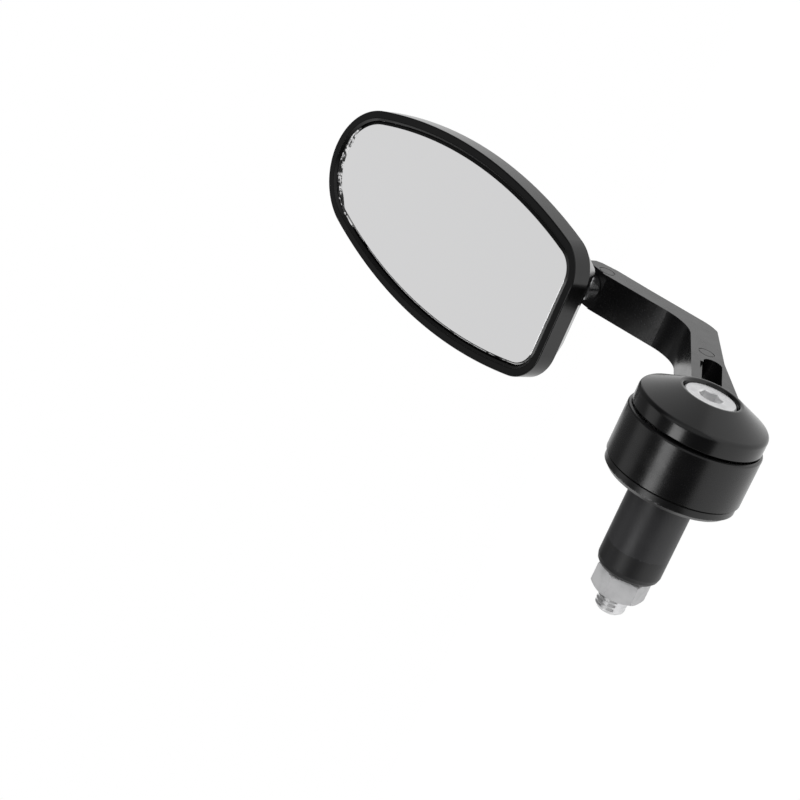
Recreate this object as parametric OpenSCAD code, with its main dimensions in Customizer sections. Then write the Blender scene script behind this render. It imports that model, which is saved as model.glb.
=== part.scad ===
// Bar end mirror for the right end of a 22.2 mm handlebar, in millimetres.
// X runs along the bar and out to the cap, Y is forward, Z is up. The bar's end face is X = 0.

/* [Bar plug] */
// radius of the rubber sleeve that goes into the bar
sleeve_r = 8.8; // [7:0.1:12]
// length of the sleeve inside the bar
sleeve_l = 26.4; // [18:0.2:40]
// radius of the bolt's shank
bolt_r = 4; // [3:0.5:5]
// radius of the bolt's round head
bolt_head_r = 7.2; // [6:0.1:8]
// width across the flats of the expander nut
nut_af = 13; // [11:0.5:17]
// height of the expander nut
nut_h = 6.5; // [4:0.5:9]

/* [Hub and cap] */
// radius of the hub's flange
flange_r = 18; // [16:0.1:22]
// thickness of the hub's flange
flange_t = 3.2; // [2:0.1:6]
// radius of the hub's core, on which the ring turns
core_r = 11; // [9.8:0.1:13]
// height of the arm's clamping ring
ring_h = 14; // [13:0.1:18]
// radius of the clamping ring
ring_r = 18.5; // [17.8:0.1:22]
// radius of the cap
cap_r = 17.8; // [16:0.1:21]
// height of the cap's straight side
cap_side = 4.6; // [3:0.1:8]
// height of the cap's cone above its side
cap_cone = 4.5; // [2:0.1:7]
// radius of the cap's flat middle
cap_mid_r = 8.5; // [8.2:0.1:12]

/* [Arm] */
// thickness of the arm along the bar
arm_t = 11.8; // [10.6:0.1:13]
// width of the clamping slot
slot_w = 5.6; // [3:0.1:6.4]
// distance of the slot's far end from the bar's axis
slot_end = 61.6; // [45:0.2:64]
// radius of the clamp screw's thread
screw_r = 2.5; // [2:0.5:3]
// distance of the clamp screw from the bar's axis
screw_a = 25; // [24:0.2:28]

/* [Ball stud] */
// radius of the stem
stem_r = 4.1; // [3.4:0.1:4.6]
// radius of the ball
ball_r = 5; // [4.4:0.1:5.2]
// radius of the neck behind the ball
neck_r = 2.3; // [2:0.1:2.6]
// distance from the arm's seat to the ball's centre
stem_l = 28.4; // [26:0.2:34]
// turn of the head about the bar's direction
head_turn = 45.6; // [40:0.2:52]

/* [Mirror head] */
// half of the head's width
head_w = 26.6; // [24:0.2:30]
// distance from the ball to the head's far end
head_top = 79.5; // [72:0.5:90]
// distance from the ball to the head's straight end
head_bot = 26.3; // [24:0.2:32]
// distance from the ball's centre to the front of the rim
head_front = 11.5; // [11.3:0.1:14]
// distance from the ball's centre to the back of the head
head_back = 6.6; // [6.4:0.1:9]
// height of the head's straight side wall
wall_h = 6; // [5:0.1:7]
// width of the rim in front of the glass
rim_w = 2.9; // [2.4:0.1:3.6]
// wall of the shell
shell_w = 2.2; // [1.8:0.1:2.6]
// thickness of the glass
glass_t = 2; // [1.6:0.1:2.4]

/* [Hidden] */
$fn = 64;
// running clearance of the ring on the hub and of the ball in its seats
fit = 0.05;
// clearance of the smooth cylinders that stand for the threads
thread_fit = 0.03;
// depth of the hub's recess that centres the sleeve's end
seat_d = 0.4;
x_ring = flange_t + 0.3;
x_cap = x_ring + ring_h + 0.5;
x_side = x_cap + cap_side;
x_top = x_side + cap_cone;
x_bolt = x_top - 0.7;
x_arm = x_ring + arm_t / 2;
// the clamp screw stands square to the arm's outer edge
out_slope = 0.112;
out_a = atan(out_slope);
out_b = -ring_r / cos(out_a);
// the arm's seat for the stem
seat_y = 100.1;
seat_z = 29.3;
ball_y = seat_y - stem_l * sin(head_turn);
ball_z = seat_z + stem_l * cos(head_turn);
seat_r = 6.5;
// outer radius of the ball's seats, and half of the gap between them
seat_o = ball_r + 1.6;
seat_g = 1.4;
stud_screw_r = 2.5;
// outline of the head: two wide side arcs, a far end arc and two corner arcs
side_r = 140;
side_c = side_r - head_w;
side_y = 19.3;
far_k = head_top - side_y;
far_r = (side_r * side_r - side_c * side_c - far_k * far_k) / (2 * (side_r - far_k));
far_y = head_top - far_r;
cor_r = 11;
cor_y = cor_r - head_bot;
cor_x = sqrt(pow(side_r - cor_r, 2) - pow(cor_y - side_y, 2)) - side_c;
head_x = 1.2;
z_wall = head_front - wall_h;
glass_f = head_front - 0.8;
glass_b = glass_f - glass_t;
ledge_z = glass_b - 0.7;
boss_r = 10.6;
post_r = 12.2;
ret_z = ledge_z - 1.5;
ret_t = 1.2;

module along_x() { rotate([0, 90, 0]) children(); }
module turned(p) { along_x() rotate_extrude($fn = 96) polygon(p); }

// Cap with a conical face, a rounded lip and a recess for the bolt's head
module end_cap() {
  color([0.05, 0.05, 0.055])
  difference() {
    turned([[bolt_r + 0.3, x_cap], [cap_r - 0.4, x_cap], [cap_r, x_cap + 0.4], [cap_r, x_side - 0.5],
      [cap_r - 0.15, x_side - 0.15], [cap_r - 0.5, x_side], [cap_mid_r + 0.6, x_top - 0.15],
      [cap_mid_r + 0.2, x_top], [cap_mid_r - 0.2, x_top], [cap_mid_r - 0.6, x_top - 0.5],
      [bolt_head_r + 0.3, x_top - 0.9], [bolt_head_r + 0.3, x_bolt - 4.4], [bolt_r + 0.3, x_bolt - 4.4]]);
    // pocket that centres the cap on the hub
    translate([x_cap - 1, 0, 0]) along_x() cylinder(r = 6.05, h = 3);
  }
}

// Turned hub: flange against the bar, core inside the ring, spigots at both ends
module clamp_hub() {
  color([0.06, 0.06, 0.065])
  turned([[bolt_r + 0.3, -3], [5.6, -3], [6, -2.6], [6, seat_d], [sleeve_r + 0.1, seat_d],
    [sleeve_r + 0.1, 0], [flange_r - 1.1, 0], [flange_r, 1.1],
    [flange_r, flange_t - 0.3], [flange_r - 0.3, flange_t], [core_r, flange_t], [core_r, x_cap],
    [6, x_cap], [6, x_cap + 1.6], [bolt_r + 0.3, x_cap + 1.6]]);
}

// Rubber sleeve that the nut squeezes outwards against the bar's bore
module expander_sleeve() {
  color([0.09, 0.09, 0.09])
  turned([[6.05, seat_d], [sleeve_r - 0.2, seat_d], [sleeve_r, -0.3], [sleeve_r, 2.4 - sleeve_l],
    [sleeve_r - 0.35, 1.2 - sleeve_l], [sleeve_r - 1.1, 0.35 - sleeve_l], [sleeve_r - 2.2, -sleeve_l],
    [bolt_r + 0.4, -sleeve_l], [bolt_r + 0.4, -3.6], [6.05, -3.6]]);
}

// Hexagon nut with chamfered corners
module expander_nut() {
  color([0.75, 0.75, 0.76])
  translate([-sleeve_l - nut_h, 0, 0]) difference() {
    intersection() {
      along_x() cylinder(r = nut_af / sqrt(3), h = nut_h, $fn = 6);
      along_x() rotate_extrude($fn = 64) polygon([[0, 0], [nut_af / 2 - 0.1, 0],
        [nut_af / sqrt(3) + 0.1, 0.8], [nut_af / sqrt(3) + 0.1, nut_h - 0.8],
        [nut_af / 2 - 0.1, nut_h], [0, nut_h]]);
    }
    translate([-1, 0, 0]) along_x() cylinder(r = bolt_r + thread_fit, h = nut_h + 2);
  }
}

// Bolt with a flat round head, a hexagon socket and a chamfered end
module expander_bolt() {
  color([0.78, 0.78, 0.79])
  difference() {
    turned([[0, -sleeve_l - nut_h - 5.2], [bolt_r - 0.8, -sleeve_l - nut_h - 5.2],
      [bolt_r, -sleeve_l - nut_h - 4.4], [bolt_r, x_bolt - 4.4], [bolt_head_r, x_bolt - 4.4],
      [bolt_head_r, x_bolt - 0.4], [bolt_head_r - 0.4, x_bolt], [0, x_bolt]]);
    translate([x_bolt - 3.2, 0, 0]) along_x() cylinder(r = 6 / sqrt(3), h = 4, $fn = 6);
    translate([x_bolt - 0.3, 0, 0]) along_x() cylinder(r1 = 2.9, r2 = 3.9, h = 0.6);
  }
}

// Plan of the arm in the plane square to the bar
module arm_plan() {
  difference() {
    union() {
      circle(r = ring_r, $fn = 128);
      // lower limb from the ring to the bend
      polygon([[-ring_r * sin(out_a) * -1, -ring_r * cos(out_a)], [89.9, out_b + 89.9 * out_slope],
        [92.8, -2.2], [84.5, 0.1], [0, 0.1]]);
      // upper limb from the bend to the tip
      polygon([[84.5, 0.1], [85, -8], [89.9, out_b + 89.9 * out_slope], [100.4, 13.3],
        [105.5, 23.1], [106.9, 28.2], [106.6, 30.1], [102.9, 33.8], [101.6, 34.2], [100.4, 33.3]]);
      // inner side of the bend
      polygon([[76.5, 0.1], [76.5, -2], [90, 0], [93, 14], [87.96, 7.3], [84.5, 0.1]]);
      polygon([[84.5, 0.1], [87.96, 7.32], [76.5, 0.1]]);
      // neck that widens to the ring
      polygon([[0, -5], [38, -5], [38, 0.1], [14.5, 11.5]]);
    }
    translate([38, 30]) circle(r = 29.9, $fn = 160);
    // rounding of the inner corner
    translate([76.5, 12.8]) circle(r = 12.7, $fn = 96);
    // rounding of the outer corner
    difference() {
      polygon([[84.94, -9.4], [90.8, -10], [93.2, -4], [92.05, -4.06], [83.94, -0.16]]);
      translate([83.94, -0.16]) circle(r = 9, $fn = 96);
    }
  }
}

// Frame of the stem: origin on the arm's seat, Z towards the glass
module at_seat() { translate([x_arm, seat_y, seat_z]) rotate([head_turn, 0, 0]) children(); }

// Frame of the clamp screw: origin on the slot's middle line, Y towards the inner side
module at_screw() {
  translate([x_arm, screw_a, slot_mid(screw_a)]) rotate([out_a, 0, 0]) children();
}
function slot_mid(a) = -5.35 - 0.026 * (a - 20);

// One casting: ring, slotted limb, bend, eye for the stem
module arm() {
  color([0.045, 0.045, 0.05])
  difference() {
    union() {
      translate([x_ring, 0, 0]) rotate([90, 0, 90]) linear_extrude(height = arm_t) arm_plan();
      translate([x_ring, 0, 0]) turned([[5, 0], [ring_r - 0.3, 0], [ring_r, 0.3], [ring_r, ring_h - 0.6],
        [ring_r - 0.2, ring_h - 0.2], [ring_r - 0.7, ring_h], [5, ring_h]]);
    }
    // bore for the hub
    translate([x_ring - 1, 0, 0]) along_x() cylinder(r = core_r + fit, h = ring_h + 2, $fn = 96);
    // clamping slot from the bore to its round end
    translate([x_ring - 1, 0, 0]) rotate([90, 0, 90]) linear_extrude(height = ring_h + 2) union() {
      translate([slot_end - slot_w / 2, slot_mid(slot_end)]) circle(r = slot_w / 2);
      polygon([[slot_end - slot_w / 2, slot_mid(slot_end) - slot_w / 2],
        [slot_end - slot_w / 2, slot_mid(slot_end) + slot_w / 2],
        [6, slot_mid(6) + slot_w / 2], [6, slot_mid(6) - slot_w / 2]]);
    }
    // bevelled lip of the slot on the cap's side
    translate([x_ring + arm_t, 0, 0]) rotate([90, 0, 90]) translate([0, 0, -0.9])
      linear_extrude(height = 4) polygon([[slot_end - 4, slot_mid(slot_end) + slot_w / 2 - 0.5],
        [slot_end - 4, slot_mid(slot_end) + slot_w / 2 + 1], [19.2, slot_mid(22) + slot_w / 2 + 1],
        [19.2, slot_mid(22) + slot_w / 2 - 0.5]]);
    // long bevel on the outer edge, widest at the bend
    translate([x_ring + arm_t, 92, out_b + 92 * out_slope]) rotate([out_a, 0, 0])
      rotate([0, 0, 2.6]) rotate([0, 45, 0]) translate([-2.1, -70, -4]) cube([4.2, 72, 4.2]);
    // spot face round the stem, on the inner side of the tip
    at_seat() cylinder(r = seat_r, h = 14);
    // hole for the stud's screw and its spot face on the outer side
    at_seat() translate([0, 0, -14]) cylinder(r = stud_screw_r + 0.2, h = 16);
    at_seat() translate([0, 0, -15]) cylinder(r = 5.3, h = 9.2);
    // clamp screw: clearance hole, counterbore and thread
    at_screw() translate([0, 0, 1]) cylinder(r = screw_r + 0.25, h = 12);
    at_screw() translate([0, 0, slot_w / 2 + 3.6]) cylinder(r = 4.6, h = 18);
    at_screw() translate([0, 0, -20]) cylinder(r = screw_r + thread_fit, h = 20);
    // ejector marks on the cap's side
    for (p = [[66, -4.6], [101, 26.4], [19.9, -12.1]])
      translate([x_ring + arm_t - 0.12, p[0], p[1]]) along_x() difference() {
        cylinder(r = 2.5, h = 1, $fn = 32);
        translate([0, 0, -1]) cylinder(r = 2.2, h = 3, $fn = 32);
      }
  }
  color([0.045, 0.045, 0.05]) difference() {
    // cast ledge left inside the slot
    translate([x_ring + 5.2, 26.4, 0]) rotate([90, 0, 90]) linear_extrude(height = 1.1)
      polygon([[2.6, slot_mid(29) - slot_w / 2 - 0.4], [slot_end - 30, slot_mid(slot_end) - slot_w / 2 - 0.4],
        [slot_end - 31, slot_mid(slot_end) - slot_w / 2 + 0.9], [2.6, slot_mid(29) - slot_w / 2 + 0.9]]);
    at_screw() translate([0, 0, -20]) cylinder(r = screw_r + 0.4, h = 40);
  }
}

// Socket cap screw that draws the slot together
module clamp_screw() {
  z0 = slot_w / 2 + 3.6;
  color([0.7, 0.7, 0.71])
  at_screw() difference() {
    union() {
      translate([0, 0, z0]) cylinder(r = 4.25, h = 4.6);
      translate([0, 0, z0 + 4.6]) cylinder(r1 = 4.25, r2 = 3.85, h = 0.4);
      translate([0, 0, z0 - 16]) cylinder(r = screw_r, h = 16.5);
    }
    translate([0, 0, z0 + 2.4]) cylinder(r = 4 / sqrt(3), h = 4, $fn = 6);
  }
}

// Stud: stem on the arm's seat, wrench flats, cone, neck and ball
module ball_stud() {
  color([0.8, 0.8, 0.81])
  at_seat() difference() {
    union() {
      rotate_extrude($fn = 96) polygon([[0, 0], [stem_r - 0.3, 0], [stem_r, 0.3], [stem_r, stem_l - 12.6],
        [stem_r - 0.5, stem_l - 12.2], [stem_r - 0.5, stem_l - 11.7], [stem_r, stem_l - 11.3],
        [stem_r, stem_l - 10.2], [neck_r, stem_l - 7.2], [neck_r, stem_l - 4], [0, stem_l - 4]]);
      translate([0, 0, stem_l]) sphere(r = ball_r, $fn = 96);
    }
    // wrench flats on two sides of the stem
    for (m = [0, 1]) mirror([0, m, 0])
      translate([-5, stem_r - 0.55, 4.4]) cube([10, 2, stem_l - 19.4]);
    // thread for the stud's screw
    translate([0, 0, -1]) cylinder(r = stud_screw_r + thread_fit, h = 9);
  }
}

// Button head screw that holds the stud from the arm's outer side
module stud_screw() {
  color([0.7, 0.7, 0.71])
  at_seat() translate([0, 0, -6.6]) mirror([0, 0, 1]) difference() {
    union() {
      rotate_extrude() polygon([[0, 0], [4.7, 0], [4.7, 0.5], [4.4, 1.4], [3.6, 2.2], [2.6, 2.6], [0, 2.6]]);
      translate([0, 0, -13]) cylinder(r = stud_screw_r, h = 13.5);
    }
    translate([0, 0, 1]) cylinder(r = 3 / sqrt(3), h = 2, $fn = 6);
  }
}

// Plain washer under the stud's screw
module stud_washer() {
  color([0.6, 0.6, 0.61])
  at_seat() translate([0, 0, -6.6]) difference() {
    cylinder(r = 4.95, h = 0.8);
    translate([0, 0, -1]) cylinder(r = stud_screw_r + 0.15, h = 3);
  }
}

// Frame of the head: origin on the ball's centre, Z towards the glass, Y to the far end
module at_ball() { translate([x_arm, ball_y, ball_z]) rotate([head_turn, 0, 0]) children(); }

// Solid that follows the head's outline, its edge moved in by o at each height z
module outline_solid(p) {
  n = len(p) - 1;
  zl = p[0][1];
  zh = p[n][1];
  function prof(r) = concat([[0, zl]], [for (q = p) [r - q[0], q[1]]], [[0, zh]]);
  kx = 40;
  fs = (far_y - side_y) / side_c;
  cs = (cor_y - side_y) / (side_c + cor_x);
  translate([head_x, 0, 0]) {
    intersection() {
      translate([-side_c, side_y, 0]) rotate_extrude($fn = 360) polygon(prof(side_r));
      translate([side_c, side_y, 0]) rotate_extrude($fn = 360) polygon(prof(side_r));
      translate([0, 0, zl - 1]) linear_extrude(height = zh - zl + 2) polygon([[0, far_y],
        [kx, far_y + kx * fs], [kx, cor_y + (kx - cor_x) * cs], [cor_x, cor_y], [-cor_x, cor_y],
        [-kx, cor_y + (kx - cor_x) * cs], [-kx, far_y + kx * fs]]);
    }
    translate([0, far_y, 0]) rotate_extrude($fn = 128) polygon(prof(far_r));
    for (m = [0, 1]) mirror([m, 0, 0])
      translate([cor_x, cor_y, 0]) rotate_extrude($fn = 96) polygon(prof(cor_r));
    translate([cor_x, 0, 0]) rotate([0, -90, 0]) linear_extrude(height = 2 * cor_x)
      polygon(concat([[zl, cor_y + 0.5]], [for (q = p) [q[1], q[0] - head_bot]], [[zh, cor_y + 0.5]]));
  }
}

// Shell with a flat rim, a pocket for the glass and a sculpted back
module head_shell() {
  color([0.05, 0.05, 0.055])
  at_ball() difference() {
    union() {
      difference() {
        outline_solid([[9.2, -head_back], [8.6, 0.5 - head_back], [0.7, z_wall - 0.6], [0, z_wall],
          [0, head_front - 0.35], [0.35, head_front]]);
        // room behind the glass
        outline_solid([[8.4 + shell_w, 3.2 - head_back], [rim_w + 1.4, z_wall + 1.2],
          [rim_w + 1.4, head_front + 1]]);
      }
      // boss round the ball and posts for the retainer's screws
      translate([0, 0, 0.6 - head_back]) cylinder(r = boss_r, h = ret_z + head_back - 0.6);
      for (a = [30, 150, 270]) rotate([0, 0, a]) translate([post_r, 0, 0.6 - head_back])
        cylinder(r = 3.1, h = ret_z + head_back - 0.6);
    }
    // pocket for the pad and the glass, with a bevelled mouth
    outline_solid([[rim_w, ledge_z], [rim_w, glass_f + 0.1], [rim_w - 0.7, head_front + 0.01],
      [rim_w - 0.7, head_front + 1]]);
    // seat bore, stem opening and threads
    translate([0, 0, 0.9]) cylinder(r = 8, h = 20);
    cylinder(r = seat_o + fit, h = 4);
    sphere(r = seat_o + fit, $fn = 96);
    translate([0, 0, -head_back - 1]) cylinder(r1 = 7.9, r2 = 4.9, h = head_back - 3);
    for (a = [30, 150, 270]) rotate([0, 0, a]) translate([post_r, 0, ret_z - 5.5])
      cylinder(r = 1.25 + thread_fit, h = 8, $fn = 32);
    // scooped flanks beside the raised back, fading out from the far end
    for (m = [0, 1]) translate([head_x, 0, 0]) mirror([m, 0, 0]) translate([19.6, 62, -6.2])
      rotate([-7, 0, 17]) rotate([90, 0, 0]) cylinder(r = 8, h = 60, center = true, $fn = 96);
  }
}

// Adhesive foam between the shell's ledge and the glass
module glass_pad() {
  color([0.12, 0.12, 0.12])
  at_ball() outline_solid([[rim_w + 0.4, ledge_z], [rim_w + 0.4, glass_b]]);
}

// Mirror glass with a polished bevel round its edge
module mirror_glass() {
  color([0.8, 0.82, 0.84])
  at_ball() outline_solid([[rim_w + 0.12, glass_b], [rim_w + 0.12, glass_f - 0.5],
    [rim_w + 1.1, glass_f]]);
}

// Ring between two spheres about the ball's centre, from height z0 to z1
module seat_ring(z0, z1) {
  at_ball() difference() {
    intersection() {
      sphere(r = seat_o, $fn = 96);
      translate([0, 0, z0]) cylinder(r = 9, h = z1 - z0);
    }
    sphere(r = ball_r + fit, $fn = 96);
  }
}

// Seat behind the ball
module rear_seat() { color([0.85, 0.85, 0.82]) seat_ring(-3.4, -seat_g); }

// Seat in front of the ball
module front_seat() { color([0.85, 0.85, 0.82]) seat_ring(seat_g, 3.4); }

// Ring that presses the front seat on the ball
module pressure_ring() {
  color([0.72, 0.72, 0.73])
  at_ball() difference() {
    translate([0, 0, 1.7]) cylinder(r = 7.9, h = 3.5, $fn = 96);
    sphere(r = seat_o + fit, $fn = 96);
  }
}

// Conical spring washer
module spring_washer() {
  color([0.5, 0.5, 0.52])
  at_ball() rotate_extrude() polygon([[5.2, ret_z - 0.5], [7.6, 5.2], [7.6, 5.7], [5.2, ret_z]]);
}

// Plate that closes the boss
module retainer_plate() {
  color([0.6, 0.6, 0.62])
  at_ball() translate([0, 0, ret_z]) difference() {
    union() {
      cylinder(r = boss_r, h = ret_t);
      for (a = [30, 150, 270]) rotate([0, 0, a]) translate([post_r, 0, 0]) cylinder(r = 3.1, h = ret_t);
    }
    translate([0, 0, -1]) cylinder(r = 2.2, h = 4);
    for (a = [30, 150, 270]) rotate([0, 0, a]) translate([post_r, 0, 0]) {
      translate([0, 0, -1]) cylinder(r = 1.4, h = 4, $fn = 32);
      translate([0, 0, ret_t - 1]) cylinder(r1 = 1.4, r2 = 2.5, h = 1.05, $fn = 32);
    }
  }
}

// Countersunk screw of the retainer
module retainer_screw(a) {
  color([0.55, 0.55, 0.57])
  at_ball() rotate([0, 0, a]) translate([post_r, 0, ret_z + ret_t]) difference() {
    rotate_extrude($fn = 32) polygon([[0, -5.8], [0.9, -5.8], [1.25, -5.3], [1.25, -1.15], [2.3, -0.1],
      [2.3, 0], [0, 0]]);
    translate([0, 0, -0.9]) cylinder(r = 0.9, h = 2, $fn = 6);
  }
}
module retainer_screw_1() { retainer_screw(30); }
module retainer_screw_2() { retainer_screw(150); }
module retainer_screw_3() { retainer_screw(270); }

end_cap();
clamp_hub();
expander_sleeve();
expander_nut();
expander_bolt();
arm();
clamp_screw();
ball_stud();
stud_screw();
stud_washer();
rear_seat();
front_seat();
pressure_ring();
spring_washer();
retainer_plate();
retainer_screw_1();
retainer_screw_2();
retainer_screw_3();
head_shell();
glass_pad();
mirror_glass();
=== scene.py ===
"""Looks of a bar end mirror: camera, studio, finishes and the fine pieces that sit on the solids."""
import math

import bpy
import numpy as np
from mathutils import Matrix, Vector


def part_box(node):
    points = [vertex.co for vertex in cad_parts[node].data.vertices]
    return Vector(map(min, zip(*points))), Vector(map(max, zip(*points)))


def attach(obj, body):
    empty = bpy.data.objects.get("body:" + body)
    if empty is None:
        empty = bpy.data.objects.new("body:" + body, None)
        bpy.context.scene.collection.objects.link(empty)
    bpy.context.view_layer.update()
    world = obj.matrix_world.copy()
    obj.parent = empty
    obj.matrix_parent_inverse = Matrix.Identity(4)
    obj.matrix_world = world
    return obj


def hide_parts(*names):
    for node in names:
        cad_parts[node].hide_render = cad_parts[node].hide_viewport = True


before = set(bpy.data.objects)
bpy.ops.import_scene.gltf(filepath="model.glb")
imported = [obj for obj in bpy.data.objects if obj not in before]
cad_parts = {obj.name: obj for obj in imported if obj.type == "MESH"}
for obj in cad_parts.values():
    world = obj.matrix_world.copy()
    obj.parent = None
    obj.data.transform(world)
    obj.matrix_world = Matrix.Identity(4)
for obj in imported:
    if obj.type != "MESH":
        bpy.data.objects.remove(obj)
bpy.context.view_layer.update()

bl_info = {
    "name": "Bar end mirror looks",
    "version": (1, 0, 0),
    "blender": (4, 5, 0),
    "location": "View3D > Sidebar > Mirror",
    "description": "Finishes, fine pieces and studio for a bar end mirror",
    "category": "Object",
}

# Places on the solids, in metres, as the frame gives them
BALL = np.array([0.0094, 0.079809, 0.04917])      # centre of the ball
SEAT = np.array([0.0094, 0.1001, 0.0293])         # seat of the stem on the arm
BAR = ((0.0, 0.0, 0.0), (1.0, 0.0, 0.0))          # axis of the bar, origin and direction
HEAD_X = np.array([1.0, 0.0, 0.0])                # across the head
HEAD_Y = np.array([0.0, 0.699663, 0.714473])      # towards the head's far end
HEAD_Z = np.array([0.0, -0.714473, 0.699663])     # out of the glass
SCREW = np.array([0.0094, 0.025, -0.00548])       # middle of the slot at the clamp screw
OUTER_SLOPE = 0.112                               # slope of the arm's outer edge, square to the screw
SLEEVE_REFLECTION_EDGE = -0.0185                             # edge of the painted reflection round the sleeve, along the bar
FLANGE_EDGE = 0.0011                              # edge of the hub's flange, along the bar

# Sizes of the head's solids. Heights are distances from the ball's centre along HEAD_Z
HEAD_HALF = 0.0266          # half of the head's width
HEAD_FAR = 0.0795           # from the ball to the far end
HEAD_NEAR = 0.0263          # from the ball to the straight end
HEAD_SHIFT = 0.0012         # from the ball to the outline's middle line
SIDE_R = 0.140              # radius of the side arcs
SIDE_Y = 0.0193             # place of their centres towards the far end
CORNER_R = 0.011            # radius of the corner arcs
RIM_FRONT = 0.0115          # height of the rim's face
MOUTH_INSET = 0.0022        # from the outline in to the mouth of the glass pocket
GLASS_FRONT = 0.0107        # height of the flat glass
GLASS_INSET = 0.00302       # from the outline in to the glass's edge
PROUD = 0.000004            # how far a rounded edge stands out of the faces that it joins

# Camera that was fitted to the photograph
CAMERA_AT = (0.216450, -0.557619, 0.094257)
CAMERA_AXES = (
    (0.36717721, 0.10859099, -0.92379050),        # right
    (0.85303513, 0.35663438, 0.38097636),         # up
    (0.37082605, -0.92791159, 0.03831609),        # back
)
LAMP_AIM = (0.01, 0.06, 0.03)                     # near the middle of the part


# Shader maths

class Sock:
    """A node's output or a plain number, with operators that add Math nodes."""

    def __init__(self, shade, value):
        self.shade, self.value = shade, value

    def _math(self, op, *others):
        return self.shade.node("ShaderNodeMath", {"operation": op}, [self, *others])

    def __add__(self, o):
        return self._math("ADD", o)

    def __sub__(self, o):
        return self._math("SUBTRACT", o)

    def __mul__(self, o):
        return self._math("MULTIPLY", o)

    def __truediv__(self, o):
        return self._math("DIVIDE", o)

    def __radd__(self, o):
        return Sock(self.shade, o)._math("ADD", self)

    def __rsub__(self, o):
        return Sock(self.shade, o)._math("SUBTRACT", self)

    def __abs__(self):
        return self._math("ABSOLUTE")

    def root(self):
        return self._math("SQRT")

    def over(self, edge):
        return self._math("GREATER_THAN", edge)

    def under(self, edge):
        return self._math("LESS_THAN", edge)

    def larger(self, o):
        return self._math("MAXIMUM", o)

    def ramp(self, low, high, a=0.0, b=1.0):
        """This value mapped smoothly from low..high to a..b and held there outside."""
        return self.shade.node("ShaderNodeMapRange", {"interpolation_type": "SMOOTHSTEP", "clamp": True},
                               [self, low, high, a, b], out="Result")


class Shade:
    """Builds one node tree, of a material or of the world."""

    def __init__(self, tree):
        self.tree = tree
        tree.nodes.clear()

    def node(self, kind, settings=None, inputs=(), out=0):
        """Adds a node: its settings, then the values or links of its inputs, by order or by name."""
        n = self.tree.nodes.new(kind)
        for k, v in (settings or {}).items():
            setattr(n, k, v)
        pairs = inputs.items() if isinstance(inputs, dict) else enumerate(inputs)
        for k, v in pairs:
            if v is None:
                continue
            v = v.value if isinstance(v, Sock) else v
            if isinstance(v, bpy.types.NodeSocket):
                self.tree.links.new(v, n.inputs[k])
            else:
                n.inputs[k].default_value = v
        return Sock(self, n.outputs[out]) if n.outputs else n

    def place(self):
        """The point in metres in the part's frame, as a vector and as x, y and z."""
        v = self.node("ShaderNodeTexCoord", out="Object")
        n = self.tree.nodes.new("ShaderNodeSeparateXYZ")
        self.tree.links.new(v.value, n.inputs[0])
        return v, [Sock(self, s) for s in n.outputs]

    def vector(self, x, y, z):
        return self.node("ShaderNodeCombineXYZ", inputs=[x, y, z])

    def dot(self, a, b):
        return self.node("ShaderNodeVectorMath", {"operation": "DOT_PRODUCT"}, [a, b], out="Value")

    def noise(self, vector, scale, detail=2.0, rough=0.5):
        """Fractal noise from 0 to 1, its cells 1 / scale wide."""
        return self.node("ShaderNodeTexNoise", inputs={
            "Vector": vector, "Scale": scale, "Detail": detail, "Roughness": rough})

    def mix(self, factor, a, b):
        """Colour a where the factor is 0 and b where it is 1."""
        return self.node("ShaderNodeMix", {"data_type": "RGBA"}, {0: factor, 6: a, 7: b}, out=2)

    def bump(self, height, strength, distance, normal=None):
        return self.node("ShaderNodeBump", inputs={
            "Strength": strength, "Distance": distance, "Height": height, "Normal": normal})

    def principled(self, **inputs):
        """Principled shader. Underscores in the names stand for spaces."""
        return self.node("ShaderNodeBsdfPrincipled",
                         inputs={k.replace("_", " "): v for k, v in inputs.items()})

    def output(self, shader):
        self.node("ShaderNodeOutputMaterial", inputs={"Surface": shader})

    def blend(self, factor, a, b):
        """Material output of shader a where the factor is 0 and of b where it is 1."""
        self.output(self.node("ShaderNodeMixShader", inputs=[factor, a, b]))

    def surface(self, **inputs):
        """Material output of one principled shader."""
        self.output(self.principled(**inputs))


def colour(c, k=1.0):
    return (c[0] * k, c[1] * k, c[2] * k, 1.0)


def grey(level):
    return (level, level, level, 1.0)


def new_shade(name):
    m = bpy.data.materials.new(name)
    m.use_nodes = True
    return m, Shade(m.node_tree)


def turned_marks(s, along, radius, pitch):
    """Fine rings of a turned face: noise of the place along the axis and of the radius alone."""
    return s.noise(s.vector(along / pitch, radius / pitch, 0.0), 1.0, 3.0, 0.6)


def axis_values(s, origin, direction):
    """Distance along and from an axis, of the point being shaded."""
    v, _ = s.place()
    rel = s.node("ShaderNodeVectorMath", {"operation": "SUBTRACT"}, [v, tuple(origin)])
    along = s.dot(rel, tuple(direction))
    return along, (s.dot(rel, rel) - along * along + 1e-12).root()


# Finishes

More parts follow.
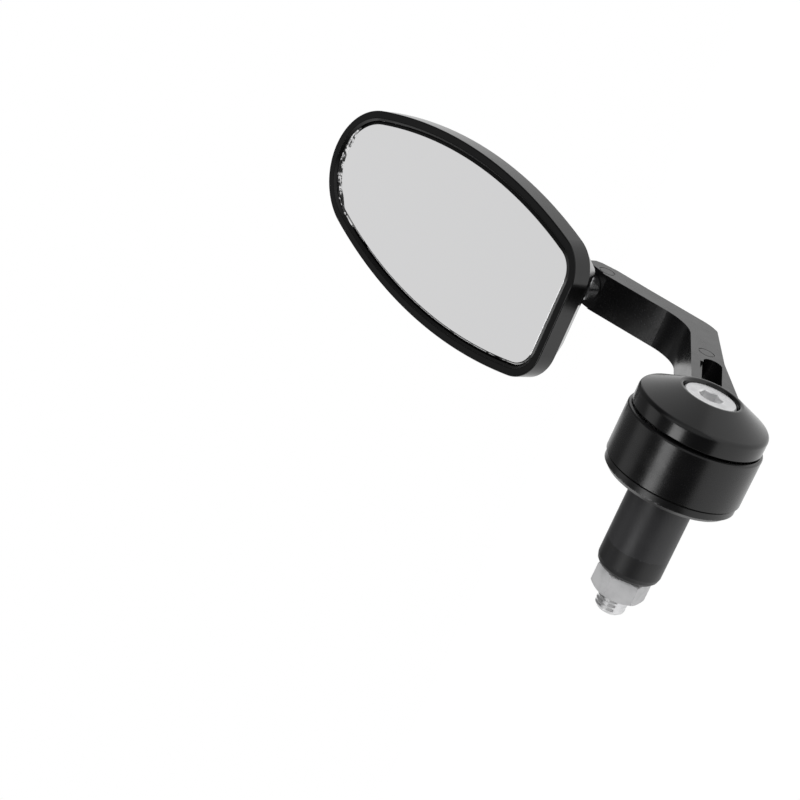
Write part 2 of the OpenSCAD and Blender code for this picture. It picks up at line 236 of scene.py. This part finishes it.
def turned_black(name, base, rough, worn=None):
    """Black satin coat on a turned piece: lathe rings and soft blotches.

    With worn, specks are bare round the edge that lies at that place along the bar.
    """
    m, s = new_shade(name)
    v, _ = s.place()
    along, radius = axis_values(s, *BAR)
    rings = turned_marks(s, along, radius, 0.00016)
    blotch = s.noise(v, 160.0, 3.0)
    rub = s.noise(v, 1500.0, 2.0).ramp(0.66, 0.8)
    shade = s.mix(blotch * 0.55 + rub * 0.25, colour(base), colour(base, 2.1))
    if worn:
        specks = s.noise(v, 1900.0, 2.0).ramp(0.52, 0.66) * s.noise(v, 130.0, 1.0).ramp(0.42, 0.58)
        edge = 1.0 - abs(along - worn).ramp(0.0001, 0.0005)
        shade = s.mix(edge * specks * 0.7, shade, grey(0.16))
    s.surface(
        Base_Color=shade,
        Roughness=rough + (blotch - 0.5) * 0.12 + (rings - 0.5) * 0.10,
        Normal=s.bump(rings, 0.16, 0.00003, s.bump(s.noise(v, 5200.0), 0.10, 0.00003)),
        Specular_IOR_Level=0.5)
    return m


def cast_black(name, base, rough, grain):
    """Powder coat over a casting: fine orange peel, wider swell and slight change of shade."""
    m, s = new_shade(name)
    v, _ = s.place()
    peel = s.noise(v, 1.0 / grain, 2.0, 0.55)
    swell = s.noise(v, 210.0, 2.0)
    fleck = s.noise(v, 3800.0, 1.0).ramp(0.62, 0.75)
    s.surface(
        Base_Color=s.mix(swell * 0.5 + fleck * 0.3, colour(base), colour(base, 2.0)),
        Roughness=rough + (swell - 0.5) * 0.14 + fleck * 0.05,
        Normal=s.bump(peel, 0.14, 0.00005, s.bump(swell, 0.08, 0.0002)),
        Specular_IOR_Level=0.5)
    return m


def gloss_black(name, base, rough):
    """Moulded gloss shell: very faint flow swell, dust-fine pits and hairline marks.

    The rim's face, at the head's full height, is less shiny than the rest.
    """
    m, s = new_shade(name)
    v, (x, y, z) = s.place()
    swell = s.noise(v, 60.0, 2.0)
    fine = s.noise(v, 2600.0, 2.0)
    hair = s.noise(s.vector(x * 3.0, y * 0.12, z * 0.12), 1400.0, 1.0).ramp(0.60, 0.72)
    shade = s.mix(swell * 0.4, colour(base), colour(base, 1.7))
    normal = s.bump(fine, 0.05, 0.00003, s.bump(swell, 0.06, 0.0004))
    wall = s.principled(
        Base_Color=shade, Normal=normal, Specular_IOR_Level=0.5,
        Roughness=rough + (swell - 0.5) * 0.06 + hair * 0.05)
    face = s.principled(
        Base_Color=shade, Normal=normal, Specular_IOR_Level=0.16,
        Roughness=rough + 0.12 + (swell - 0.5) * 0.06)
    height, _ = axis_values(s, BALL, HEAD_Z)
    s.blend(height.ramp(RIM_FRONT - 0.00004, RIM_FRONT - 0.00001), wall, face)
    return m


def rubber(name, base, foot):
    """Moulded rubber: matt, with a faint mould bloom and a fine tooth.

    At the place foot along the bar lies the edge of a painted reflection: the part above it is paler,
    with a thin pale line painted along the edge, and the foot below keeps the darker base.
    """
    m, s = new_shade(name)
    v, (x, _, _) = s.place()
    wander = (s.noise(v, 500.0, 3.0) - 0.5) * 0.0008
    # thin pale line painted along the edge of the painted reflection
    line = 1.0 - abs(x + wander - foot).ramp(0.00008, 0.00030)
    line = line * s.noise(v, 1700.0, 2.0).ramp(0.45, 0.62)
    # painted reflection: the part above the edge is paler
    painted_reflection = (x + wander).ramp(foot - 0.0002, foot + 0.0002)
    bloom = s.noise(v, 190.0, 3.0)
    body = s.mix(bloom * 0.25 + painted_reflection * 0.6, colour(base), colour(base, 4.5))
    s.surface(
        Base_Color=s.mix(line * 0.5, body, colour(base, 7.0)),
        Roughness=0.46 + (bloom - 0.5) * 0.16 + line * 0.1,
        Normal=s.bump(s.noise(v, 3300.0, 2.0), 0.20, 0.00004),
        Specular_IOR_Level=0.5)
    return m


def bright_metal(name, base, rough, axis=BAR, socket=None, metal=1.0):
    """Plated or bare steel: turning rings about the axis and faint stains.

    A matt plating has metal below 1. Where a socket is given, as its radius and the place along the axis
    where it starts, its inside is painted almost white: a painted highlight.
    """
    m, s = new_shade(name)
    v, _ = s.place()
    along, radius = axis_values(s, *axis)
    rings = turned_marks(s, along, radius, 0.00012)
    stain = s.noise(v, 260.0, 3.0)
    unstained = colour(base)
    if socket:
        # painted highlight: the socket's inside is painted almost white
        unstained = s.mix(radius.under(socket[0]) * along.over(socket[1]), unstained, grey(0.96))
    s.surface(
        Base_Color=s.mix(stain.ramp(0.35, 0.75), unstained, colour(base, 0.84)),
        Roughness=rough + (rings - 0.5) * 0.12 + (stain - 0.5) * 0.10,
        Metallic=metal,
        Normal=s.bump(rings, 0.22, 0.00003))
    return m


def mirror_silver(name, tint):
    """Silvered glass: sharp reflection with the faintest haze of wiping.

    The bevel is dark, without silver. On the side away from the bar it has a pale hairline, a painted
    reflection.
    """
    m, s = new_shade(name)
    v, (x, _, _) = s.place()
    haze = s.noise(v, 45.0, 2.0)
    height, _ = axis_values(s, BALL, HEAD_Z)
    # painted reflection: a pale hairline on the dark bevel, on the side away from the bar
    hairline = 1.0 - abs(height - (GLASS_FRONT - 0.00021)).ramp(0.00005, 0.00009)
    hairline = hairline * x.ramp(-0.002, -0.008) * s.noise(v, 300.0, 1.0).ramp(0.30, 0.45)
    flat = height.ramp(GLASS_FRONT - 0.000025, GLASS_FRONT - 0.000005)
    silver = s.mix(haze * 0.5, colour(tint), colour(tint, 0.985))
    s.surface(
        Base_Color=s.mix(flat, s.mix(hairline, grey(0.004), grey(0.80)), silver),
        Roughness=0.012 + haze * 0.012 + (1.0 - flat) * 0.25,
        Metallic=flat)
    return m


def ground_glass(name, tint):
    """Ground and part polished edge of the glass: bright facets with frosted ones between them."""
    m, s = new_shade(name)
    v, _ = s.place()
    frost = s.noise(v, 420.0, 1.0).ramp(0.47, 0.55)
    s.surface(
        Base_Color=s.mix(frost, colour(tint, 1.1), colour(tint, 0.10)),
        Roughness=0.05 + frost * 0.20,
        Metallic=1.0,
        Normal=s.bump(s.noise(v, 1100.0, 1.0), 0.12, 0.0001))
    return m


def foam(name, base):
    """Closed-cell adhesive foam."""
    m, s = new_shade(name)
    v, _ = s.place()
    cell = s.node("ShaderNodeTexVoronoi", inputs={"Vector": v, "Scale": 1800.0})
    s.surface(
        Base_Color=s.mix(cell, colour(base), colour(base, 2.2)),
        Roughness=0.92,
        Normal=s.bump(cell, 0.5, 0.0001))
    return m


def acetal(name, base):
    """Natural acetal, slightly waxy."""
    m, s = new_shade(name)
    v, _ = s.place()
    n = s.noise(v, 700.0, 2.0)
    s.surface(
        Base_Color=s.mix(n, colour(base), colour(base, 0.9)),
        Roughness=0.36 + (n - 0.5) * 0.1,
        Normal=s.bump(n, 0.08, 0.00005))
    return m


# Surfaces

def grid_piece(name, points, wrap_u=True, wrap_v=True):
    """Mesh of a grid of points, shape (nu, nv, 3): each cell of the grid is one quad.

    Wrapped directions join the last row to the first. The faces are turned so that the volume
    inside, the sum of the tetrahedra from the middle to each face, is positive.
    """
    nu, nv = points.shape[:2]
    rows, columns = np.arange(nu if wrap_u else nu - 1), np.arange(nv if wrap_v else nv - 1)
    i, j = np.meshgrid(rows, columns, indexing="ij")
    a = i * nv + j
    b = ((i + 1) % nu) * nv + j
    c = ((i + 1) % nu) * nv + (j + 1) % nv
    d = i * nv + (j + 1) % nv
    quads = np.stack([a, b, c, d], -1).reshape(-1, 4)
    co = points.reshape(-1, 3)
    p = co[quads] - co.mean(0)
    volume = (np.einsum("ij,ij->i", p[:, 0], np.cross(p[:, 1], p[:, 2]))
              + np.einsum("ij,ij->i", p[:, 0], np.cross(p[:, 2], p[:, 3]))).sum()
    if volume < 0:
        quads = quads[:, ::-1]
    mesh = bpy.data.meshes.new(name)
    mesh.from_pydata(co.tolist(), [], quads.tolist())
    shade_smooth(mesh, True)
    mesh.update()
    o = bpy.data.objects.new(name, mesh)
    bpy.context.scene.collection.objects.link(o)
    return o


def shade_smooth(mesh, smooth):
    mesh.polygons.foreach_set("use_smooth", np.full(len(mesh.polygons), smooth))


def round_axis(axis, along, radius, turn):
    """Points at a distance along an axis, at a radius from it, turned round it.

    With the axis through O along D, each is O + a D + r (cos t U + sin t W).
    """
    origin, direction = axis
    d = np.asarray(direction, float)
    u = np.cross(d, [0.0, 0.0, 1.0] if abs(d[2]) < 0.9 else [1.0, 0.0, 0.0])
    u /= np.linalg.norm(u)
    w = np.cross(d, u)
    return (np.asarray(origin) + along[..., None] * d
            + radius[..., None] * (np.cos(turn)[..., None] * u + np.sin(turn)[..., None] * w))


def loop_path(n_out, n_in):
    """Parameter along a closed section: 0..1 outside, then back inside.

    Returns the place, and 1 where the section is outside and 0 where it is inside.
    """
    out = np.linspace(0.0, 1.0, n_out)
    back = np.linspace(1.0, 0.0, n_in)
    return np.concatenate([out, back]), np.concatenate([np.ones(n_out), np.zeros(n_in)])


def full_turn(n):
    return np.linspace(0, 2 * np.pi, n, endpoint=False)


def end_fade(a, a0, a1, length):
    """1 between a0 and a1, falling straight to 0 over a length at both ends."""
    return np.clip(np.minimum(a - a0, a1 - a) / length, 0.0, 1.0)


def thread_surface(x0, x1, root, depth, pitch, inner):
    """Helical ridge on a bolt, a tube with a triangle wave: r = root + depth * tri(x / pitch - t / 2pi).

    The wave fades out at both ends, and the tube closes on itself inside the bolt.
    """
    p, outside = loop_path(150, 4)
    X, T = np.meshgrid(x0 + (x1 - x0) * p, full_turn(96), indexing="ij")
    phase = (X / pitch - T / (2 * np.pi)) % 1.0
    tri = 1.0 - np.abs(2.0 * phase - 1.0)
    r = root + depth * tri * end_fade(X, x0, x1, 0.00035)
    return round_axis(BAR, X, np.where(outside[:, None] > 0, r, inner), T)


def knurl_surface(axis, a0, a1, radius, depth, count, inner):
    """Straight knurl round a screw's head: r = R + depth * |cos(n t / 2)|, faded at both ends."""
    p, outside = loop_path(12, 3)
    A, T = np.meshgrid(a0 + (a1 - a0) * p, full_turn(count * 6), indexing="ij")
    r = radius + depth * np.abs(np.cos(T * count / 2)) * end_fade(A, a0, a1, 0.0003)
    return round_axis(axis, A, np.where(outside[:, None] > 0, r, inner), T)


def arc(cx, cr, radius, a0, a1, n):
    """Points (x, r) of an arc in a turned section: centre plus the radius times (sin a, cos a)."""
    a = np.linspace(a0, a1, n)
    return np.stack([cx + radius * np.sin(a), cr + radius * np.cos(a)], 1)


def cap_section(x0, x1, side, radius, fillet, bolt_r, head_r, mid_r, floor):
    """Section (x, r) of the cap: straight side, wide shoulder, cone, lip and recess of the bolt's head.

    The shoulder is an arc tangent to the side and to the cone. With b the cone's angle from the
    side's direction, it starts fillet * tan(b / 2) below the corner where the two lines meet.
    """
    foot, lip = 0.0004, 0.0006
    wall = head_r + 0.00025
    xs = x0 + side
    b = math.atan2(radius - mid_r, x1 - xs)
    drop = fillet * math.tan(b / 2)
    return np.vstack([
        [[x0, bolt_r], [x0, radius - foot]],
        arc(x0 + foot, radius - foot, foot, -np.pi / 2, 0, 8),
        arc(xs - drop, radius - fillet, fillet, 0.0, b, 18),
        arc(x1 - foot, mid_r + 0.0001, foot, b, np.pi / 2, 6),
        arc(x1 - lip, mid_r - 0.0002, lip, np.pi / 2, np.pi * 0.80, 8),
        [[x1 - 0.0010, wall], [floor, wall], [floor, bolt_r]]])


def turned_surface(section, turns=256):
    """Closed section (x, r) turned about the bar's axis: (x, r cos t, r sin t)."""
    X, T = np.meshgrid(section[:, 0], full_turn(turns), indexing="ij")
    return round_axis(BAR, X, np.repeat(section[:, 1][:, None], turns, 1), T)


def head_outline(n=40):
    """Head's outline in its own plane, counter-clockwise, as points and outward normals.

    Two wide side arcs, a far end arc, two corner arcs and a straight end, all tangent:
    each point is its arc's centre plus the arc's radius times the normal (cos a, sin a).
    """
    side_x = SIDE_R - HEAD_HALF
    k = HEAD_FAR - SIDE_Y
    far_r = (SIDE_R ** 2 - side_x ** 2 - k ** 2) / (2 * (SIDE_R - k))
    far_y, corner_y = HEAD_FAR - far_r, CORNER_R - HEAD_NEAR
    corner_x = math.sqrt((SIDE_R - CORNER_R) ** 2 - (corner_y - SIDE_Y) ** 2) - side_x
    a0 = math.atan2(corner_y - SIDE_Y, corner_x + side_x)
    a1 = math.atan2(far_y - SIDE_Y, side_x)
    arcs = (
        (corner_x, corner_y, CORNER_R, -math.pi / 2, a0, n),
        (-side_x, SIDE_Y, SIDE_R, a0, a1, 2 * n),
        (0.0, far_y, far_r, a1, math.pi - a1, 2 * n),
        (side_x, SIDE_Y, SIDE_R, math.pi - a1, math.pi - a0, 2 * n),
        (-corner_x, corner_y, CORNER_R, math.pi - a0, 1.5 * math.pi, n))
    points, normals = [], []
    for x, y, r, start, end, count in arcs:
        a = np.linspace(start, end, count, endpoint=False)
        d = np.stack([np.cos(a), np.sin(a)], 1)
        points.append(np.array([x, y]) + r * d)
        normals.append(d)
    straight = np.linspace(-corner_x, corner_x, 8, endpoint=False)
    points.append(np.stack([straight, np.full_like(straight, -HEAD_NEAR)], 1))
    normals.append(np.repeat([[0.0, -1.0]], len(straight), 0))
    return np.vstack(points) + np.array([HEAD_SHIFT, 0.0]), np.vstack(normals)


def inside_outline(p, n, inset, height):
    """Points of the outline p, moved in by inset against its normals n and raised to a height."""
    flat = p[:, None, :] - inset[..., None] * n[:, None, :]
    return BALL + flat[..., :1] * HEAD_X + flat[..., 1:] * HEAD_Y + height[..., None] * HEAD_Z


def along_outline(section):
    """Carries a closed section (inset, height) along the head's outline."""
    p, n = head_outline()
    return inside_outline(p, n, section[None, :, 0], section[None, :, 1])


def rim_bead_section(r):
    """Quarter circle on the rim's outer edge, closed by two points inside the rim."""
    a = np.linspace(-0.1, np.pi / 2 + 0.1, 12)
    out = r + PROUD
    inset = np.concatenate([r - out * np.cos(a), [2 * r, 0.6 * r]])
    height = np.concatenate([RIM_FRONT - r + out * np.sin(a),
                             [RIM_FRONT - 0.6 * r, RIM_FRONT - 2 * r]])
    return np.stack([inset, height], 1)


def mouth_bead_section(r):
    """Rounded edge between the rim's face and the bevel of the pocket's mouth.

    An arc of radius r, tangent to both and then moved out along their bisector until it covers the
    sharp edge. Two points inside the rim close it.
    """
    half = math.pi / 8
    out = r * (1.0 / math.cos(half) - 1.0) + PROUD
    a = np.linspace(-0.25, 2 * half + 0.25, 10)
    inset = MOUTH_INSET - r * math.tan(half) + out * math.sin(half) + r * np.sin(a)
    height = RIM_FRONT - r + out * math.cos(half) + r * np.cos(a)
    return np.stack([np.concatenate([inset, [MOUTH_INSET - 0.4 * r, MOUTH_INSET - 1.6 * r]]),
                     np.concatenate([height, [RIM_FRONT - 1.8 * r, RIM_FRONT - 0.8 * r]])], 1)


def ground_edge(width):
    """Ground edge of the glass: long chipped facets round the far end, sunk into the glass elsewhere.

    The band lies on the flat glass, from its edge inwards, and its width is a minimum plus the rest
    times k. Its points are lifted by seeded random heights times k, and most of each height holds
    for several points, which makes the facets long. k falls smoothly from 1, where the outline's
    normal points to the far end's near side, to 0. Where k is 0 the band sinks into the glass.
    """
    rng = np.random.default_rng(11)
    middle = np.array([-0.3090, 0.9511])
    least, across, hold = 0.00045, 7, 7
    p, n = head_outline(56)

    def smooth(x):
        x = np.clip(x, 0.0, 1.0)
        return (x * x * (3.0 - 2.0 * x))[:, None]

    k = smooth((n @ middle - 0.58) / 0.30)
    show = smooth((n @ middle - 0.56) / 0.03)
    u = np.linspace(0.0, 1.0, across)[None]
    rough = np.repeat(rng.normal(0.0, 1.0, (len(p) // hold + 1, across)), hold, 0)[:len(p)]
    fine = rng.normal(0.0, 1.0, (len(p), across))
    lift = np.abs(rough * 0.00012 + fine * 0.00002) * np.sin(np.pi * u) ** 0.5 * k
    slide = rng.normal(0.0, 1.0, (len(p), across)) * 0.00004 * k
    inset = GLASS_INSET + u * (least + (width - least) * k)
    height = (GLASS_FRONT + 0.000012 + lift) * show + (GLASS_FRONT - 0.0009) * (1.0 - show)
    deep = np.full((len(p), 1), GLASS_FRONT - 0.0012)
    return inside_outline(p, n, np.concatenate([inset + slide, inset[:, -1:], inset[:, :1]], 1),
                          np.concatenate([height, deep, deep], 1))


def dress(names, material):
    """Gives CAD nodes their finish."""
    for n in names:
        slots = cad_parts[n].data.materials
        slots.clear()
        slots.append(material)


def add_piece(name, points, body, material):
    """Makes a closed piece from its grid of points and fixes it to its body."""
    o = grid_piece(name, points)
    o.data.materials.append(material)
    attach(o, body)
    return o


# Settings

def tone(name, description, default):
    return bpy.props.FloatVectorProperty(name=name, description=description, subtype="COLOR", size=3,
                                         min=0.0, max=1.0, default=default)


def length(name, description, default):
    return bpy.props.FloatProperty(name=name, description=description, subtype="DISTANCE", unit="LENGTH",
                                   min=0.0, precision=5, default=default)


def power(name, description, default):
    return bpy.props.FloatProperty(name=name, description=description, subtype="POWER", min=0.0,
                                   default=default)


class MirrorSizes(bpy.types.PropertyGroup):
    """Sizes of the fine pieces."""
    thread_pitch: length("Thread pitch", "Pitch of the expander bolt's thread", 0.00125)
    thread_depth: length("Thread depth", "Height of the thread's ridge over the shank", 0.00022)
    knurl_depth: length("Knurl depth", "Height of the clamp screw's knurl", 0.00007)
    knurl_count: bpy.props.IntProperty(
        name="Knurl teeth", description="Number of ridges round the clamp screw",
        min=12, max=96, default=44)
    bead: length("Rim edge", "Radius of the rounded edge of the rim", 0.00035)
    mouth_bead: length("Pocket edge", "Radius of the rounded edge of the glass pocket", 0.00028)
    ground_width: length("Ground edge", "Width of the glass's ground edge at the far end", 0.0021)
    shoulder: length("Cap shoulder", "Radius of the rounded shoulder of the cap", 0.0014)
    grain: length("Casting grain", "Width of the powder coat's orange peel", 0.00042)


class MirrorTones(bpy.types.PropertyGroup):
    """Colours of the finishes."""
    satin: tone("Satin black", "Turned cap and hub", (0.0026, 0.0026, 0.0028))
    cast: tone("Cast black", "Powder-coated arm", (0.0026, 0.0026, 0.0028))
    shell: tone("Shell black", "Mirror head", (0.0024, 0.0024, 0.0026))
    rubber: tone("Rubber", "Expander sleeve", (0.0065, 0.0065, 0.0070))
    steel: tone("Bolt steel", "Expander bolt and the smaller screws", (0.78, 0.78, 0.79))
    zinc: tone("Zinc", "Expander nut, pressure ring and retainer plate", (0.75, 0.75, 0.76))
    spring: tone("Spring steel", "Spring washer", (0.34, 0.34, 0.36))
    chrome: tone("Chrome", "Stem and ball", (0.72, 0.72, 0.73))
    silver: tone("Silvering", "Mirror glass", (0.84, 0.84, 0.845))
    acetal: tone("Acetal", "Seats of the ball", (0.72, 0.71, 0.67))
    foam: tone("Foam", "Pad behind the glass", (0.02, 0.02, 0.02))


class MirrorStudio(bpy.types.PropertyGroup):
    """Camera and light."""
    lens: bpy.props.FloatProperty(name="Lens", description="Focal length of the camera in millimetres",
                                  min=20.0, max=300.0, default=106.4)
    key: power("Key light", "Power of the soft light above the camera", 1.5)
    fill: power("Fill light", "Power of the soft light at the side", 4.5)
    floor: length("Floor depth", "Distance of the floor below the bar's axis", 0.25)


# Operators

class MIRROR_OT_stage(bpy.types.Operator):
    """Camera, soft studio light, white surroundings and the plain pale floor"""
    bl_idname = "mirror.stage"
    bl_label = "Studio"

    def execute(self, context):
        st = context.scene.mirror_studio
        self.camera(context.scene, st.lens)
        self.lamp("key", st.key, 0.33, (-0.38, -0.76, 0.53), True)
        self.lamp("fill", st.fill, 0.60, (0.62, -0.62, 0.42), False)
        self.floor(st.floor)
        self.surroundings(context.scene)
        return {"FINISHED"}

    @staticmethod
    def camera(scene, lens):
        o = bpy.data.objects.new("camera", bpy.data.cameras.new("camera"))
        o.data.lens = lens
        o.data.sensor_width = 36.0
        o.data.clip_start, o.data.clip_end = 0.01, 50.0
        turn = Matrix(CAMERA_AXES).transposed().to_4x4()
        o.matrix_world = Matrix.Translation(Vector(CAMERA_AT)) @ turn
        scene.collection.objects.link(o)
        scene.camera = o
        scene.view_settings.view_transform = "Standard"

    @staticmethod
    def lamp(name, watts, size, at, shines):
        light = bpy.data.lights.new(name, "AREA")
        light.shape, light.size, light.energy = "SQUARE", size, watts
        o = bpy.data.objects.new(name, light)
        o.location = at
        o.rotation_euler = (Vector(LAMP_AIM) - Vector(at)).to_track_quat("-Z", "Y").to_euler()
        o.visible_camera, o.visible_glossy = False, shines
        bpy.context.scene.collection.objects.link(o)

    @staticmethod
    def floor(depth):
        """Pale floor that glows for the camera, so that no edge shows against the white behind it."""
        X, Y = np.meshgrid(np.linspace(-2.0, 2.0, 9), np.linspace(-0.42, 2.6, 9), indexing="ij")
        o = grid_piece("floor", np.stack([X, Y, np.full_like(X, -depth)], -1), False, False)
        m, s = new_shade("pale_floor")
        v, (_, y, _) = s.place()
        grain = s.noise(v, 320.0, 3.0)
        seen, gloss, clear = (s.node("ShaderNodeLightPath", out=k)
                              for k in ("Is Camera Ray", "Is Glossy Ray", "Is Transmission Ray"))
        near = y.ramp(-0.9, -0.1)
        path = seen * 0.88 + (1.0 - seen) * gloss.larger(clear) * near * 0.8
        plain = s.principled(Base_Color=s.mix(grain, grey(0.86), grey(0.82)), Roughness=0.7)
        glow = s.node("ShaderNodeEmission", inputs={"Color": grey(1.0), "Strength": 1.10})
        s.blend(path, plain, glow)
        o.data.materials.append(m)

    @staticmethod
    def surroundings(scene):
        """White behind and beside the part, dark at the camera and overhead, with pale cards.

        The cards stand above, at the right and over the camera. The camera itself sees plain white.
        """
        world = bpy.data.worlds.new("studio")
        world.use_nodes = True
        scene.world = world
        s = Shade(world.node_tree)
        d = s.node("ShaderNodeTexCoord", out="Generated")
        behind = s.dot(d, CAMERA_AXES[2]).ramp(-0.35, 0.75, 0.92, 0.04)
        overhead = s.dot(d, (0.0, 0.0, 1.0)).ramp(0.25, 0.60, 1.0, 0.2)
        above = s.dot(d, (-0.31, -0.05, 0.949)).ramp(0.955, 0.985) * 0.62
        right = s.dot(d, (0.68, -0.72, 0.10)).ramp(0.55, 0.95) * 0.45
        over_camera = s.dot(d, (0.15, -0.70, 0.70)).ramp(0.88, 0.99) * 0.5
        seen = s.node("ShaderNodeLightPath", out="Is Camera Ray")
        strength = seen + (1.0 - seen) * (behind * overhead + above + right + over_camera)
        s.node("ShaderNodeOutputWorld", inputs={"Surface": s.node(
            "ShaderNodeBackground", inputs={"Color": grey(1.0), "Strength": strength})})


class MIRROR_OT_bar_plug(bpy.types.Operator):
    """Sleeve, nut and bolt of the bar plug, with the bolt's thread"""
    bl_idname = "mirror.bar_plug"
    bl_label = "Bar plug"

    def execute(self, context):
        t, z = context.scene.mirror_tones, context.scene.mirror_sizes
        # the bolt's hex socket is painted brighter inside: a painted highlight
        dress(["expander_bolt"],
              bright_metal("bolt_steel", t.steel, 0.30, socket=(0.0036, 0.020), metal=0.6))
        dress(["expander_sleeve"], rubber("sleeve_rubber", t.rubber, SLEEVE_REFLECTION_EDGE))
        dress(["expander_nut"], bright_metal("nut_zinc", t.zinc, 0.42, metal=0.25))
        end_chamfer = 0.0008
        thread = thread_surface(
            x0=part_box("expander_bolt")[0].x + end_chamfer, x1=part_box("expander_nut")[0].x,
            root=0.00399, depth=z.thread_depth, pitch=z.thread_pitch, inner=0.0036)
        add_piece("bolt_thread", thread, "bar_plug",
                  bright_metal("thread_steel", t.steel, 0.16, metal=0.85))
        return {"FINISHED"}


class MIRROR_OT_hub_and_cap(bpy.types.Operator):
    """Turned hub and cap, with the cap's rounded shoulder"""
    bl_idname = "mirror.hub_and_cap"
    bl_label = "Hub and cap"

    def execute(self, context):
        t, z = context.scene.mirror_tones, context.scene.mirror_sizes
        satin = turned_black("satin_black", t.satin, 0.20)
        dress(["clamp_hub"], turned_black("hub_black", t.satin, 0.30, FLANGE_EDGE))
        low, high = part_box("end_cap")
        section = cap_section(x0=low.x, x1=high.x, side=0.0046, radius=high.y, fillet=z.shoulder,
                              bolt_r=0.0043, head_r=0.0072, mid_r=0.0085, floor=0.0220)
        cap = add_piece("cap", turned_surface(section), "bar_plug", satin)
        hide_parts("end_cap")
        return {"FINISHED"}


class MIRROR_OT_arm(bpy.types.Operator):
    """Cast arm and its clamp screw with a knurled head"""
    bl_idname = "mirror.arm"
    bl_label = "Arm"

    def execute(self, context):
        t, z = context.scene.mirror_tones, context.scene.mirror_sizes
        dress(["arm"], cast_black("cast_black", t.cast, 0.25, z.grain))
        a = math.atan(OUTER_SLOPE)
        axis = (SCREW, np.array([0.0, -math.sin(a), math.cos(a)]))
        steel = bright_metal("screw_steel", t.steel, 0.28, axis)
        dress(["clamp_screw"], steel)
        head_foot = 0.0064
        knurl = knurl_surface(axis, a0=head_foot + 0.0005, a1=head_foot + 0.0043, radius=0.00424,
                              depth=z.knurl_depth, count=z.knurl_count, inner=0.0040)
        add_piece("clamp_screw_knurl", knurl, "arm", steel)
        return {"FINISHED"}


class MIRROR_OT_stud(bpy.types.Operator):
    """Ball stud with its screw and washer"""
    bl_idname = "mirror.stud"
    bl_label = "Ball stud"

    def execute(self, context):
        t = context.scene.mirror_tones
        stem = (SEAT, HEAD_Z)
        dress(["ball_stud"], bright_metal("stud_chrome", t.chrome, 0.20, stem))
        dress(["stud_screw", "stud_washer"], bright_metal("stud_fixing", t.steel, 0.32, stem))
        return {"FINISHED"}


class MIRROR_OT_ball_joint(bpy.types.Operator):
    """Seats, pressure ring, spring washer and retainer inside the head"""
    bl_idname = "mirror.ball_joint"
    bl_label = "Ball joint"

    def execute(self, context):
        t = context.scene.mirror_tones
        axis = (BALL, HEAD_Z)
        dress(["rear_seat", "front_seat"], acetal("seat_acetal", t.acetal))
        dress(["pressure_ring"], bright_metal("ring_plated", t.zinc, 0.34, axis))
        dress(["spring_washer"], bright_metal("spring_steel", t.spring, 0.34, axis))
        dress(["retainer_plate"], bright_metal("plate_zinc", t.zinc, 0.40, axis))
        dress(["retainer_screw_1", "retainer_screw_2", "retainer_screw_3"],
              bright_metal("small_screws", t.steel, 0.34, axis))
        return {"FINISHED"}


class MIRROR_OT_head(bpy.types.Operator):
    """Head shell with the rounded edges of its rim"""
    bl_idname = "mirror.head"
    bl_label = "Head"

    def execute(self, context):
        t, z = context.scene.mirror_tones, context.scene.mirror_sizes
        gloss = gloss_black("shell_gloss", t.shell, 0.17)
        dress(["head_shell"], gloss)
        for name, section in (("rim_edge", rim_bead_section(z.bead)),
                              ("pocket_edge", mouth_bead_section(z.mouth_bead))):
            add_piece(name, along_outline(section), "head", gloss)
        return {"FINISHED"}


class MIRROR_OT_glass(bpy.types.Operator):
    """Silvered glass with its ground edge, on its foam pad"""
    bl_idname = "mirror.glass"
    bl_label = "Glass"

    def execute(self, context):
        t, z = context.scene.mirror_tones, context.scene.mirror_sizes
        dress(["mirror_glass"], mirror_silver("silvered_glass", t.silver))
        dress(["glass_pad"], foam("pad_foam", t.foam))
        edge = add_piece("glass_ground_edge", ground_edge(z.ground_width), "head",
                         ground_glass("ground_glass", t.silver))
        shade_smooth(edge.data, False)
        return {"FINISHED"}


STEPS = (MIRROR_OT_stage, MIRROR_OT_bar_plug, MIRROR_OT_hub_and_cap, MIRROR_OT_arm, MIRROR_OT_stud,
         MIRROR_OT_ball_joint, MIRROR_OT_head, MIRROR_OT_glass)
GROUPS = (("mirror_sizes", MirrorSizes), ("mirror_tones", MirrorTones), ("mirror_studio", MirrorStudio))


class MIRROR_PT_panel(bpy.types.Panel):
    """Lists the steps and their settings"""
    bl_idname = "MIRROR_PT_panel"
    bl_label = "Bar end mirror"
    bl_space_type = "VIEW_3D"
    bl_region_type = "UI"
    bl_category = "Mirror"

    def draw(self, context):
        for name, group in GROUPS:
            box = self.layout.box()
            for key in group.__annotations__:
                box.prop(getattr(context.scene, name), key)
        for step in STEPS:
            self.layout.operator(step.bl_idname)


def register():
    for _, g in GROUPS:
        bpy.utils.register_class(g)
    for c in (*STEPS, MIRROR_PT_panel):
        bpy.utils.register_class(c)
    for name, g in GROUPS:
        setattr(bpy.types.Scene, name, bpy.props.PointerProperty(type=g))


def unregister():
    for name, _ in GROUPS:
        delattr(bpy.types.Scene, name)
    for c in (MIRROR_PT_panel, *reversed(STEPS)):
        bpy.utils.unregister_class(c)
    for _, g in reversed(GROUPS):
        bpy.utils.unregister_class(g)


def main():
    register()
    bpy.ops.mirror.stage()
    bpy.ops.mirror.bar_plug()
    bpy.ops.mirror.hub_and_cap()
    bpy.ops.mirror.arm()
    bpy.ops.mirror.stud()
    bpy.ops.mirror.ball_joint()
    bpy.ops.mirror.head()
    bpy.ops.mirror.glass()


if __name__ == "__main__":
    main()
